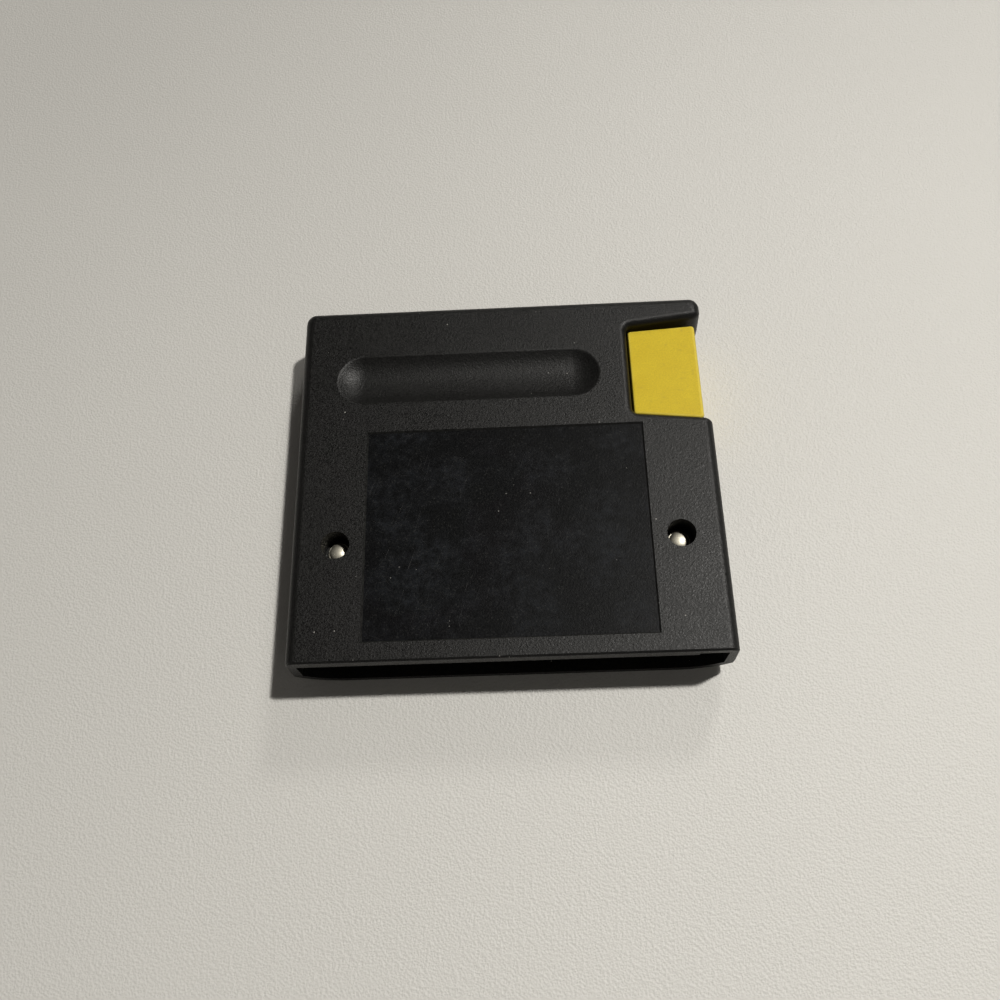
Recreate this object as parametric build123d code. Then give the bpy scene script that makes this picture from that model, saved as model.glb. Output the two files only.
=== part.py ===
from build123d import *
from math import asin, cos, radians, sin, tan
import os

# Game cartridge, lying on its front face with the rear face up.
# Millimetres and degrees. +X is the tab side, +Y runs from the open mouth to the top, +Z is the rear side.
# The origin is under the middle of the case. A name ending in _UP is a distance from the mouth edge.

# Case
CASE_W = 106.0
CASE_H = 97.0
CASE_T = 17.5
PARTING_Z = 7.5
WALL = 2.4
SIDE_WALL = 2.6
REAR_DRAFT = 2.5  # lean of the rear half's sides
REAR_EDGE_R = 2.6
TOP_CORNER_R = 3.2
MOUTH_BEVEL = 0.45
CAVITY_CORNER_R = 1.2
FRONT_CURVE_W = 13.0  # width over which each long side curves in to the front face
FRONT_LAND = 1.95  # upright part of the front half's sides, under the parting line

# Notch for the tab, cut into the tab side near the top: the arm is over it, the shoulder under it
NOTCH_DEPTH = 20.0
NOTCH_LENGTH = 25.05
ARM_ROOT_H = 9.05
ARM_FLARE = 6.6
SHOULDER_FLARE = 6.3
NOTCH_INNER_R = 1.3
NOTCH_LIP_R = 2.9
NOTCH_LIP_RUN = 0.05  # how far the rounding of a lip runs past the side
NOTCH_EDGE_R = 1.8
NOTCH_BEVEL = 1.0
BEVEL_SLOPE = 45.0
ARM_CORE_W = 2.0
ARM_CORE_SKIN = 3.0

# Tab
TAB_T = 12.8
TAB_INSET = 2.1
TAB_GAP = 0.2
TAB_FLARE = 3.5
TAB_CORNER_R = 0.9
TAB_BEVEL = 0.35
TAB_NECK_W = 12.0
TAB_NECK_T = 3.6
TAB_HEAD_W = 18.0
TAB_HEAD_T = 5.0
TAB_HEAD_D = 3.4
TAB_STOP_T = 1.4
TAB_STOP_W = 10.0

# Rear face: finger groove, smooth panel, thicker edge at the mouth
GROOVE_FROM_SIDE = 9.95
GROOVE_FROM_NOTCH = 8.15
GROOVE_FROM_TOP = 22.2  # from its middle line
GROOVE_W = 14.0
GROOVE_DEPTH = 2.2
GROOVE_RIM_R = 1.2
GROOVE_PAD_SLOPE = 35.0
PANEL_FROM_SCREW = 7.3
PANEL_FROM_MOUTH = 4.9
PANEL_FROM_GROOVE = 8.7
PANEL_DEPTH = 0.45
PANEL_SLOPE = 40.0  # lean of the panel's edges
MOUTH_LIP_T = 1.2
MOUTH_LIP_D = 5.0
MOUTH_LIP_RELIEF = 6.8  # stretch at the tab side without the lip

# Front face: shallow field for a label
LABEL_FROM_CURVE = 1.5
LABEL_FROM_NOTCH = 2.5
LABEL_FROM_TOP = 4.5
LABEL_H = 59.0
LABEL_DEPTH = 0.35
LABEL_CORNER_R = 2.0

# Screws and the posts that take them
SCREW_FROM_WALL = 8.6
SCREW_UP = 29.1
SCREW_WELL_D = 7.0
SCREW_SEAT_T = 1.3
SCREW_FLANGE_D = 5.6
SCREW_FLANGE_T = 0.6
SCREW_STUD_D = 4.4
SCREW_STUD_T = 1.7
SCREW_LOBES = 6
SCREW_LOBE_TURN = 17.0  # half of the angle that one lobe spans
SCREW_FLUTE_DEPTH = 0.5
SCREW_SHANK_D = 2.4
SCREW_POINT_L = 1.2
SCREW_HOLE_D = 3.2
PILOT_GAP = 0.05
PILOT_END_GAP = 0.3
BOSS_WALL = 1.3
POST_D = 9.0
SPIGOT_D = 6.6
SPIGOT_GAP = 0.05
GUSSET_T = 1.4
GUSSET_SHORT = 1.0

# Tongue of the front shell in the rebate of the rear shell
TONGUE_T = 1.1
TONGUE_H = 1.2
TONGUE_GAP = 0.15
TONGUE_FROM_MOUTH = 8.0

# Hooks at the top edge
HOOK_FROM_NOTCH = 5.3
HOOK_W = 8.0
HOOK_T = 1.6
HOOK_BARB = 1.0
HOOK_BARB_H = 1.8
HOOK_GAP = 0.2
CATCH_D = 1.2
CATCH_H = 1.6
CATCH_ABOVE_PARTING = 1.8

# Circuit board and its supports
BOARD_T = 1.6
BOARD_FROM_WALL = 2.2
BOARD_FROM_NOTCH = 5.9
EDGE_STEP = 5.0
EDGE_UP = 3.2
EDGE_LENGTH = 11.8
EDGE_BEVEL = 0.5
BOARD_HOLE_GAP = 0.3
HOLE_SIDES = 6
BOARD_GAP = 0.05
RAIL_W = 4.4
RAIL_L = 9.0
RAIL_UP = 16.0
REST_RIB_T = 1.4
REST_RIB_W = 14.0
REST_RIB_FROM_SIDE = 22.2
REST_RIB_IN = 3.0

# Contacts
PITCH = 2.54
EDGE_BARE = 2.56  # edge left bare at each end of the row
CONTACT_W = 1.7
CONTACT_L = 8.6
CONTACT_T = 0.08
CONTACT_IN = 0.7

# Memory chip
CHIP_L = 52.8
CHIP_W = 13.8
CHIP_T = 3.9
CHIP_SEAT = 0.5
CHIP_DRAFT = 7.0
CHIP_FROM_END = 17.0
CHIP_NOTCH_R = 1.6
CHIP_NOTCH_DEPTH = 0.6
PIN_T = 0.3
PIN_REACH = 0.72
PIN_SHOULDER_W = 1.4
PIN_TAIL_W = 0.5
PIN_TAIL_OUT = 1.4
PIN_STANDOFF = 0.3
PIN_HOLE_D = 0.9

# Capacitors
CERAMIC_W = 4.6
CERAMIC_H = 3.2
CERAMIC_T = 2.4
CERAMIC_CORNER = 0.8
CERAMIC_BEVEL = 0.5
CERAMIC_FROM_CHIP = 6.6
CERAMIC_FROM_END = 9.0
CERAMIC_PITCH = 2.54
CERAMIC_SEAT = 0.4
CAN_L = 11.0
CAN_X = -6.0
CAN_HEADROOM = 0.5
CAN_GROOVE_R = 0.35
CAN_GROOVE_IN = 1.6
CAN_PITCH = 2.0
CAN_LEAD_REACH = 2.2
CAN_SEAT = 0.05
WIRE_D = 0.6
WIRE_BEND = 1.2
WIRE_HOLE_D = 0.9
WIRE_OUT = 1.4

# Largest share of its wall that a rounding may take
TOP_R_SHARE = 0.47
LIP_R_SHARE = 0.42

# Worked out from the sizes above
MOUTH_Y = -CASE_H / 2
TOP_Y = CASE_H / 2
HALF_W = CASE_W / 2
HALF_IN = HALF_W - SIDE_WALL
OVERRUN = CASE_H / 8
NEAR = MOUTH_BEVEL / 10
CEILING_Z = CASE_T - WALL
NOTCH_X = HALF_W - NOTCH_DEPTH
NOTCH_WALL_X = NOTCH_X - WALL
MID_Z = CASE_T / 2
BOARD_FRONT_Z = MID_Z - BOARD_T / 2
BOARD_REAR_Z = MID_Z + BOARD_T / 2
BOSS_END_Z = BOARD_REAR_Z + BOARD_GAP
WELL_FLOOR_Z = BOSS_END_Z + SCREW_SEAT_T
SPIGOT_TOP_Z = BOSS_END_Z - SPIGOT_GAP
SCREW_END_Z = WALL + PILOT_END_GAP
SCREW_X = HALF_IN - SCREW_FROM_WALL
BOSS_D = SCREW_WELL_D + 2 * BOSS_WALL
HOOK_X = NOTCH_WALL_X - HOOK_FROM_NOTCH
FLAT_HALF = HALF_W - FRONT_CURVE_W
CURVE_H = PARTING_Z - FRONT_LAND
CURVE_R = (FRONT_CURVE_W**2 + CURVE_H**2) / (2 * CURVE_H)
GROOVE_X0 = GROOVE_FROM_SIDE - HALF_W
GROOVE_X1 = NOTCH_X - GROOVE_FROM_NOTCH
GROOVE_L = GROOVE_X1 - GROOVE_X0
GROOVE_X = (GROOVE_X0 + GROOVE_X1) / 2
GROOVE_UP = CASE_H - GROOVE_FROM_TOP
PANEL_W = 2 * (SCREW_X - PANEL_FROM_SCREW)
PANEL_H = GROOVE_UP - GROOVE_W / 2 - PANEL_FROM_GROOVE - PANEL_FROM_MOUTH
PANEL_UP = PANEL_FROM_MOUTH + PANEL_H / 2
LABEL_X0 = LABEL_FROM_CURVE - FLAT_HALF
LABEL_X1 = NOTCH_X - LABEL_FROM_NOTCH
LABEL_W = LABEL_X1 - LABEL_X0
LABEL_X = (LABEL_X0 + LABEL_X1) / 2
LABEL_UP = CASE_H - LABEL_FROM_TOP - LABEL_H / 2
BOARD_W = 2 * (HALF_IN - BOARD_FROM_WALL)
BOARD_UP = CASE_H - ARM_ROOT_H - NOTCH_LENGTH - BOARD_FROM_NOTCH
EDGE_W = BOARD_W - 2 * EDGE_STEP
CONTACTS = round((EDGE_W - 2 * EDGE_BARE) / PITCH)
REST_RIB_X = BOARD_W / 2 - REST_RIB_FROM_SIDE
PINS_PER_ROW = round(CHIP_L / PITCH)
ROW_GAP = CHIP_W + 2 * PIN_REACH
CHIP_UP = BOARD_UP - CHIP_FROM_END
CERAMIC_X = CHIP_L / 2 + CERAMIC_FROM_CHIP
CERAMIC_UP = BOARD_UP - CERAMIC_FROM_END
CAN_D = CEILING_Z - BOARD_REAR_Z - CAN_SEAT - CAN_HEADROOM
CAN_UP = (EDGE_UP + EDGE_LENGTH + CHIP_UP - ROW_GAP / 2) / 2
ARM_TIP_H = ARM_ROOT_H - NOTCH_DEPTH * tan(radians(ARM_FLARE))
TOP_R = min(TOP_CORNER_R, TOP_R_SHARE * ARM_TIP_H)
LIP_R = min(NOTCH_LIP_R, LIP_R_SHARE * ARM_TIP_H)


def up(distance):
    """Y of a point at this distance from the mouth edge."""
    return MOUTH_Y + distance


def arm_edge(x):
    """Y of the notch flank under the arm, at the parting line."""
    return TOP_Y - ARM_ROOT_H + (x - NOTCH_X) * tan(radians(ARM_FLARE))


def shoulder_edge(x):
    """Y of the notch flank over the lower body, at the parting line."""
    return TOP_Y - ARM_ROOT_H - NOTCH_LENGTH - (x - NOTCH_X) * tan(radians(SHOULDER_FLARE))


def block(x0, x1, y0, y1, z0, z1):
    """Straight bar between two opposite corners."""
    return Pos((x0 + x1) / 2, (y0 + y1) / 2, (z0 + z1) / 2) * Box(x1 - x0, y1 - y0, z1 - z0)


def bar(x, y, width, depth, z0, z1):
    """Straight bar on a middle point."""
    return block(x - width / 2, x + width / 2, y - depth / 2, y + depth / 2, z0, z1)


def post(x, y, z0, z1, diameter):
    """Round bar along Z."""
    return Pos(x, y, (z0 + z1) / 2) * Cylinder(diameter / 2, z1 - z0)


def rounded_plan(points, radii):
    """Closed plan through the points, each corner rounded by its own radius, 0 for a sharp one."""
    plan = make_face(Polyline(*points, close=True))
    for point, radius in zip(points, radii):
        if radius > 0:
            plan = fillet(plan.vertices().sort_by_distance(point)[0], radius)
    return plan


def notch_points(side):
    """Corners of the notch out to a side line, from the shoulder to the arm."""
    return [
        (side, shoulder_edge(side)),
        (NOTCH_X, shoulder_edge(NOTCH_X)),
        (NOTCH_X, arm_edge(NOTCH_X)),
        (side, arm_edge(side)),
    ]


def notch_radii():
    """Rounding of those corners."""
    return [LIP_R, NOTCH_INNER_R, NOTCH_INNER_R, LIP_R]


def front_plan():
    """Outside of the case at the parting line, run past the mouth so that the end is cut square."""
    start = [(-HALF_W, MOUTH_Y - OVERRUN), (HALF_W, MOUTH_Y - OVERRUN)]
    end = [(HALF_W, TOP_Y), (-HALF_W, TOP_Y)]
    return rounded_plan(start + notch_points(HALF_W) + end, [0, 0] + notch_radii() + [0, 0])


def rear_body():
    """Rear half without its notch: drafted sides and a broad rounding round the rear face."""
    points = [(-HALF_W, MOUTH_Y - OVERRUN), (HALF_W, MOUTH_Y - OVERRUN), (HALF_W, TOP_Y), (-HALF_W, TOP_Y)]
    plan = Pos(0, 0, PARTING_Z) * rounded_plan(points, [0, 0, TOP_R, TOP_R])
    body = extrude(plan, CASE_T - PARTING_Z, taper=REAR_DRAFT)
    sides = [e for e in body.faces().sort_by(Axis.Z)[-1].edges() if e.center().Y > MOUTH_Y - NEAR]
    return fillet(sides, REAR_EDGE_R)


def notch_mask():
    """What the notch leaves of the rear half, larger than the half on every other side."""
    side = HALF_W + NOTCH_LIP_RUN
    start = [(-CASE_W, -CASE_H), (side, -CASE_H)]
    end = [(side, CASE_H), (-CASE_W, CASE_H)]
    plan = rounded_plan(start + notch_points(side) + end, [0, 0] + notch_radii() + [0, 0])
    mask = extrude(Pos(0, 0, PARTING_Z) * plan, CASE_T - PARTING_Z, taper=REAR_DRAFT)
    rim = [e for e in mask.faces().sort_by(Axis.Z)[-1].edges() if e.center().X > NOTCH_WALL_X]
    return fillet(rim, NOTCH_EDGE_R)


def cavity_plan():
    """Inside of the case, open at the mouth and stepped round the tab notch."""
    points = [
        (-HALF_IN, MOUTH_Y - OVERRUN),
        (HALF_IN, MOUTH_Y - OVERRUN),
        (HALF_IN, shoulder_edge(HALF_IN) - WALL),
        (NOTCH_WALL_X, shoulder_edge(NOTCH_WALL_X) - WALL),
        (NOTCH_WALL_X, TOP_Y - WALL),
        (-HALF_IN, TOP_Y - WALL),
    ]
    r = CAVITY_CORNER_R
    return rounded_plan(points, [0, 0, r, r, r, r])


def past_mouth():
    """Everything beyond the mouth plane."""
    return block(-CASE_W, CASE_W, MOUTH_Y - 2 * OVERRUN, MOUTH_Y, -CASE_T, 2 * CASE_T)


def mouth_rim(half):
    """Edges round the outside of the square-cut mouth end of a case half, without the parting line."""
    end = half.faces().sort_by(Axis.Y)[0]
    return [e for e in end.edges() if abs(e.center().Z - PARTING_Z) > NEAR]


def tongue_ring(gap, height):
    """Ring round the cavity on the parting line, clear of the mouth and of the tab's neck."""
    grown = offset(cavity_plan(), amount=TONGUE_T + gap, kind=Kind.INTERSECTION)
    ring = extrude(Pos(0, 0, PARTING_Z) * (grown - cavity_plan()), height + gap)
    ring -= block(-CASE_W, CASE_W, MOUTH_Y - 2 * OVERRUN, up(TONGUE_FROM_MOUTH) - gap, 0, CASE_T)
    return ring - tab_slot()


def notch_middle():
    """Y of the middle of the notch's inner wall."""
    return (arm_edge(NOTCH_X) + shoulder_edge(NOTCH_X)) / 2


def tab_slot():
    """Slot for the tab's neck through the inner wall of the notch."""
    half_w = TAB_NECK_W / 2 + TAB_GAP
    half_t = TAB_NECK_T / 2 + TAB_GAP
    y = notch_middle()
    x0 = NOTCH_WALL_X - TONGUE_T
    return block(x0, NOTCH_X + WALL, y - half_w, y + half_w, MID_Z - half_t, MID_Z + half_t)


def tab_stop(z0, z1):
    """Rib behind the tab's head, which keeps it from being pushed in."""
    x = NOTCH_WALL_X - TAB_HEAD_D - 2 * TAB_GAP - TAB_STOP_T / 2
    return bar(x, notch_middle(), TAB_STOP_T, TAB_STOP_W, z0, z1)


def arm_core(z0, z1):
    """Core slot along the arm, open at the parting line, which keeps its section even."""
    x0 = NOTCH_X + ARM_CORE_W
    x1 = HALF_W - TOP_R - ARM_CORE_W
    middle = (TOP_Y + arm_edge((x0 + x1) / 2)) / 2
    slot = Rot(0, 0, ARM_FLARE / 2) * SlotOverall(x1 - x0, ARM_CORE_W)
    return extrude(Pos((x0 + x1) / 2, middle, z0) * slot, z1 - z0)


def groove_body():
    """Finger groove as a round-ended bar."""
    half_w = GROOVE_W / 2
    radius = (half_w**2 + GROOVE_DEPTH**2) / (2 * GROOVE_DEPTH)
    span = GROOVE_L - GROOVE_W
    axis_z = CASE_T - GROOVE_DEPTH + radius
    rod = Rot(0, 90, 0) * Cylinder(radius, span)
    for side in (-1, 1):
        rod += Pos(side * span / 2, 0, 0) * Sphere(radius)
    return Pos(GROOVE_X, up(GROOVE_UP), axis_z) * rod


def groove_backing():
    """Sloped pad inside that keeps the wall even behind the finger groove."""
    pad = Pos(GROOVE_X, up(GROOVE_UP), CEILING_Z) * Rectangle(GROOVE_L + WALL, GROOVE_W + WALL)
    return extrude(pad, GROOVE_DEPTH, dir=(0, 0, -1), taper=GROOVE_PAD_SLOPE)


def groove_rim(shell):
    """Edges where the finger groove breaks the rear face."""
    face = shell.faces().filter_by(Axis.Z).sort_by(Axis.Z)[-1]
    return face.inner_wires()[0].edges()


def screw_places():
    """Both screw axes."""
    return [(side * SCREW_X, up(SCREW_UP)) for side in (-1, 1)]


def rest_rib_places():
    """Middle of each rib that the board's inner end lies on."""
    return [(side * REST_RIB_X, up(BOARD_UP - REST_RIB_IN)) for side in (-1, 1)]


def hook_places():
    """Left end of each top hook."""
    return (-HOOK_X, HOOK_X - HOOK_W)


def make_rear_shell():
    """Rear moulding: drafted walls, groove, panel, screw wells and the inner ribs."""
    outside = rear_body() & notch_mask()
    outside -= past_mouth()
    outside = chamfer(mouth_rim(outside), MOUTH_BEVEL)
    outside -= groove_body()
    outside = fillet(groove_rim(outside), GROOVE_RIM_R)
    panel = Pos(0, up(PANEL_UP), CASE_T - PANEL_DEPTH) * Rectangle(PANEL_W, PANEL_H)
    outside -= extrude(panel, PANEL_DEPTH, taper=-PANEL_SLOPE)
    cavity = extrude(Pos(0, 0, PARTING_Z) * cavity_plan(), CEILING_Z - PARTING_Z)
    inside = groove_backing() - groove_body()
    lip_x1 = HALF_IN - MOUTH_LIP_RELIEF
    inside += block(-HALF_IN, lip_x1, MOUTH_Y, up(MOUTH_LIP_D), CEILING_Z - MOUTH_LIP_T, CEILING_Z)
    gusset_z = BOSS_END_Z + GUSSET_SHORT
    for x, y in screw_places():
        wall_x = HALF_IN if x > 0 else -HALF_IN
        inside += post(x, y, BOSS_END_Z, CEILING_Z, BOSS_D)
        inside += bar((x + wall_x) / 2, y, abs(wall_x - x), GUSSET_T, gusset_z, CEILING_Z)
    for x, y in rest_rib_places():
        inside += bar(x, y, REST_RIB_W, REST_RIB_T, BOARD_REAR_Z + BOARD_GAP, CEILING_Z)
    inside += tab_stop(MID_Z + TAB_GAP, CEILING_Z)
    for x in hook_places():
        catch_z = PARTING_Z + CATCH_ABOVE_PARTING
        inside += block(x, x + HOOK_W, TOP_Y - WALL - CATCH_D, TOP_Y - WALL, catch_z, catch_z + CATCH_H)
    shell = outside - cavity + inside
    shell -= tongue_ring(TONGUE_GAP, TONGUE_H) + tab_slot() + arm_core(PARTING_Z, CASE_T - ARM_CORE_SKIN)
    for x, y in screw_places():
        shell -= post(x, y, WELL_FLOOR_Z, 2 * CASE_T, SCREW_WELL_D)
        shell -= post(x, y, 0, CASE_T, SCREW_HOLE_D)
    return shell


def front_section(side, floor, radius, top):
    """Cross-section of the front half: upright sides that curve in to a flat face."""
    sweep = asin((side - FLAT_HALF) / radius)
    turn = CURVE_R - radius * cos(sweep)
    knee = (FLAT_HALF + radius * sin(sweep / 2), CURVE_R - radius * cos(sweep / 2))
    lines = [
        Line((-FLAT_HALF, floor), (FLAT_HALF, floor)),
        ThreePointArc((FLAT_HALF, floor), knee, (side, turn)),
        Line((side, turn), (side, top)),
        Line((side, top), (-side, top)),
        Line((-side, top), (-side, turn)),
        ThreePointArc((-side, turn), (-knee[0], knee[1]), (-FLAT_HALF, floor)),
    ]
    return make_face(lines)


def side_relief():
    """Sections to cut away so that the long sides curve in to the front face."""
    relief = Sketch()
    for side in (-1, 1):
        beside = Pos(side * (FLAT_HALF + CASE_W / 2), CURVE_R - CASE_W / 2) * Rectangle(CASE_W, CASE_W)
        relief += beside - Pos(side * FLAT_HALF, CURVE_R) * Circle(CURVE_R)
    return relief


def front_prism(section):
    """Front section drawn out along the case."""
    return extrude(Plane.XZ * section, CASE_H, both=True)


def top_rim(half):
    """Edges round the top end of the front half, without the parting line."""
    end = half.faces().sort_by(Axis.Y)[-1]
    return [e for e in end.edges() if abs(e.center().Z - PARTING_Z) > NEAR]


def notch_bevel():
    """Flared bar that bevels the front edge of the notch, and fades out where the sides curve in."""
    plan = rounded_plan(notch_points(CASE_W), [0, NOTCH_INNER_R, NOTCH_INNER_R, 0])
    return extrude(offset(plan, amount=NOTCH_BEVEL), NOTCH_BEVEL, taper=BEVEL_SLOPE)


def top_hook(x):
    """Upright arm whose barb sits over a catch of the rear shell."""
    y1 = TOP_Y - WALL - CATCH_D - HOOK_GAP
    y0 = y1 - HOOK_T
    hold_z = PARTING_Z + CATCH_ABOVE_PARTING + CATCH_H + HOOK_GAP
    tip_z = hold_z + HOOK_BARB_H
    barb = [(y1, hold_z), (y1 + HOOK_BARB, hold_z), (y1, tip_z)]
    profile = make_face(Polyline((y0, 0), (y1, 0), *barb, (y0, tip_z), close=True))
    return Pos(x, 0, 0) * extrude(Plane.YZ * profile, HOOK_W)


def make_front_shell():
    """Front moulding: curved long sides, label field, posts, rails, hooks and tongue."""
    outside = extrude(front_plan(), PARTING_Z) - front_prism(side_relief())
    outside -= past_mouth()
    outside = chamfer(mouth_rim(outside), MOUTH_BEVEL)
    outside = fillet(top_rim(outside), TOP_R)
    outside -= notch_bevel()
    field = RectangleRounded(LABEL_W, LABEL_H, LABEL_CORNER_R)
    outside -= extrude(Pos(LABEL_X, up(LABEL_UP), 0) * field, LABEL_DEPTH)
    hollow = front_prism(front_section(HALF_IN, WALL, CURVE_R - WALL, PARTING_Z))
    half_skin = WALL / 2
    mid_skin = front_prism(front_section(HALF_W - half_skin, half_skin, CURVE_R - half_skin, CASE_T))
    inside = Part()
    for x, y in screw_places():
        inside += post(x, y, 0, BOARD_FRONT_Z, POST_D) + post(x, y, 0, SPIGOT_TOP_Z, SPIGOT_D)
    rail = block(HALF_IN - RAIL_W, HALF_IN, up(RAIL_UP), up(RAIL_UP + RAIL_L), 0, BOARD_FRONT_Z)
    inside += rail + mirror(rail, about=Plane.YZ)
    for x, y in rest_rib_places():
        inside += bar(x, y, REST_RIB_W, REST_RIB_T, 0, BOARD_FRONT_Z)
    inside += tab_stop(0, MID_Z - TAB_GAP)
    for x in hook_places():
        inside += top_hook(x)
    cavity = extrude(cavity_plan(), PARTING_Z) & hollow
    shell = outside - cavity + (inside & mid_skin) + tongue_ring(0, TONGUE_H)
    shell -= tab_slot() + (arm_core(0, PARTING_Z) & hollow)
    for x, y in screw_places():
        shell -= post(x, y, SCREW_END_Z - PILOT_END_GAP, CASE_T, SCREW_SHANK_D + 2 * PILOT_GAP)
    return shell


def make_side_tab():
    """Coloured tab: plate in the notch, neck through the wall and a head inside."""
    x0, x1 = NOTCH_X + TAB_GAP, HALF_W - TAB_INSET
    y1 = arm_edge(x0) - TAB_GAP
    points = [
        (x0, shoulder_edge(x0) + TAB_GAP),
        (x1, shoulder_edge(x1) + TAB_GAP),
        (x1, y1 + (x1 - x0) * tan(radians(TAB_FLARE))),
        (x0, y1),
    ]
    plate = extrude(Pos(0, 0, MID_Z - TAB_T / 2) * rounded_plan(points, [TAB_CORNER_R] * 4), TAB_T)
    faces = plate.faces().filter_by(Axis.Z)
    plate = chamfer(faces[0].edges() + faces[1].edges(), TAB_BEVEL)
    y = notch_middle()
    head_x1 = NOTCH_WALL_X - TAB_GAP
    head_x0 = head_x1 - TAB_HEAD_D
    neck_w, neck_t = TAB_NECK_W / 2, TAB_NECK_T / 2
    head_w, head_t = TAB_HEAD_W / 2, TAB_HEAD_T / 2
    neck = block(head_x1, x0 + TAB_CORNER_R, y - neck_w, y + neck_w, MID_Z - neck_t, MID_Z + neck_t)
    head = block(head_x0, head_x1, y - head_w, y + head_w, MID_Z - head_t, MID_Z + head_t)
    return plate + neck + head


def stud_plan():
    """Round stud with a flute between each two lobes."""
    outer, inner = SCREW_STUD_D / 2, SCREW_STUD_D / 2 - SCREW_FLUTE_DEPTH
    step = 360 / SCREW_LOBES
    points = []
    for i in range(SCREW_LOBES):
        for turn, r in ((-SCREW_LOBE_TURN, outer), (SCREW_LOBE_TURN, outer), (step / 2, inner)):
            points.append(Vector(r, 0, 0).rotate(Axis.Z, i * step + turn))
    return make_face(Polyline(*points, close=True))


def make_case_screws():
    """Two pan screws with a lobed security stud on a round flange."""
    flange_r, shank_r = SCREW_FLANGE_D / 2, SCREW_SHANK_D / 2
    flange_z = WELL_FLOOR_Z + SCREW_FLANGE_T
    shank = [(0, SCREW_END_Z), (shank_r, SCREW_END_Z + SCREW_POINT_L), (shank_r, WELL_FLOOR_Z)]
    flange = [(flange_r, WELL_FLOOR_Z), (flange_r, flange_z), (0, flange_z)]
    screw = revolve(Plane.XZ * make_face(Polyline(*shank, *flange, close=True)), Axis.Z)
    screw += extrude(Pos(0, 0, flange_z) * stud_plan(), SCREW_STUD_T)
    return Compound([Pos(x, y, 0) * screw.solid() for x, y in screw_places()])


def pin_places():
    """X of each chip pin, and Y of the two rows."""
    first = -(PINS_PER_ROW - 1) / 2 * PITCH
    columns = [first + i * PITCH for i in range(PINS_PER_ROW)]
    return columns, (up(CHIP_UP) - ROW_GAP / 2, up(CHIP_UP) + ROW_GAP / 2)


def ceramic_places():
    """Middle of each ceramic capacitor."""
    return [(side * CERAMIC_X, up(CERAMIC_UP)) for side in (-1, 1)]


def can_lead_places():
    """Where the electrolytic capacitor's wires go through the board."""
    x = CAN_X + CAN_L / 2 + CAN_LEAD_REACH
    return [(x, up(CAN_UP) + side * CAN_PITCH / 2) for side in (-1, 1)]


def make_circuit_board():
    """Board with a bevelled card edge, post holes and pin holes."""
    edge_y, step_y, top_y = up(EDGE_UP), up(EDGE_UP + EDGE_LENGTH), up(BOARD_UP)
    edge_half, half = EDGE_W / 2, BOARD_W / 2
    lead_in = 2 * EDGE_BEVEL
    points = [
        (-edge_half + lead_in, edge_y),
        (edge_half - lead_in, edge_y),
        (edge_half, edge_y + lead_in),
        (edge_half, step_y),
        (half, step_y),
        (half, top_y),
        (-half, top_y),
        (-half, step_y),
        (-edge_half, step_y),
        (-edge_half, edge_y + lead_in),
    ]
    plan = make_face(Polyline(*points, close=True))
    hole = Circle(SPIGOT_D / 2 + BOARD_HOLE_GAP)
    plan -= [Pos(x, y) * hole for x, y in screw_places()]
    columns, rows = pin_places()
    plan -= [Pos(x, y) * RegularPolygon(PIN_HOLE_D / 2, HOLE_SIDES) for x in columns for y in rows]
    wires = can_lead_places() + [
        (x + side * CERAMIC_PITCH / 2, y) for x, y in ceramic_places() for side in (-1, 1)
    ]
    plan -= [Pos(x, y) * RegularPolygon(WIRE_HOLE_D / 2, HOLE_SIDES) for x, y in wires]
    board = extrude(Pos(0, 0, BOARD_FRONT_Z) * plan, BOARD_T)
    return chamfer(board.edges().filter_by(Axis.X).group_by(Axis.Y)[0], EDGE_BEVEL)


def make_contacts(z0):
    """Row of plated contacts on one face of the card edge."""
    y = up(EDGE_UP + CONTACT_IN + CONTACT_L / 2)
    first = -(CONTACTS - 1) / 2 * PITCH
    pads = []
    for i in range(CONTACTS):
        x = first + i * PITCH
        pads.append(bar(x, y, CONTACT_W, CONTACT_L, z0, z0 + CONTACT_T).solid())
    return Compound(pads)


def make_chip_package():
    """Moulded chip body, drafted both ways from its middle, with the end notch."""
    z = BOARD_REAR_Z + CHIP_SEAT + CHIP_T / 2
    middle = Pos(0, up(CHIP_UP), z) * Rectangle(CHIP_L, CHIP_W)
    body = extrude(middle, CHIP_T / 2, taper=CHIP_DRAFT)
    body += extrude(middle, -CHIP_T / 2, taper=CHIP_DRAFT)
    top = z + CHIP_T / 2
    return body - post(-CHIP_L / 2, up(CHIP_UP), top - CHIP_NOTCH_DEPTH, top + CHIP_T, 2 * CHIP_NOTCH_R)


def make_chip_pins():
    """Bent pins of both rows, each a wide shoulder with a narrow tail through the board."""
    z = BOARD_REAR_Z + CHIP_SEAT + CHIP_T / 2
    y0, y1 = CHIP_W / 2, ROW_GAP / 2 + PIN_T / 2
    stop_z = BOARD_REAR_Z + PIN_STANDOFF
    high, low = z + PIN_T / 2, z - PIN_T / 2
    bend = [(y0, high), (y1, high), (y1, stop_z), (y1 - PIN_T, stop_z)]
    profile = make_face(Polyline(*bend, (y1 - PIN_T, low), (y0, low), close=True))
    pin = extrude(Plane.YZ * profile, PIN_SHOULDER_W / 2, both=True)
    tail_half = PIN_TAIL_W / 2
    pin += block(-tail_half, tail_half, y1 - PIN_T, y1, BOARD_FRONT_Z - PIN_TAIL_OUT, stop_z)
    columns, _ = pin_places()
    pins = []
    for x in columns:
        for turn in (0, 180):
            pins.append((Pos(x, up(CHIP_UP), 0) * Rot(0, 0, turn) * pin).solid())
    return Compound(pins)


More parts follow.
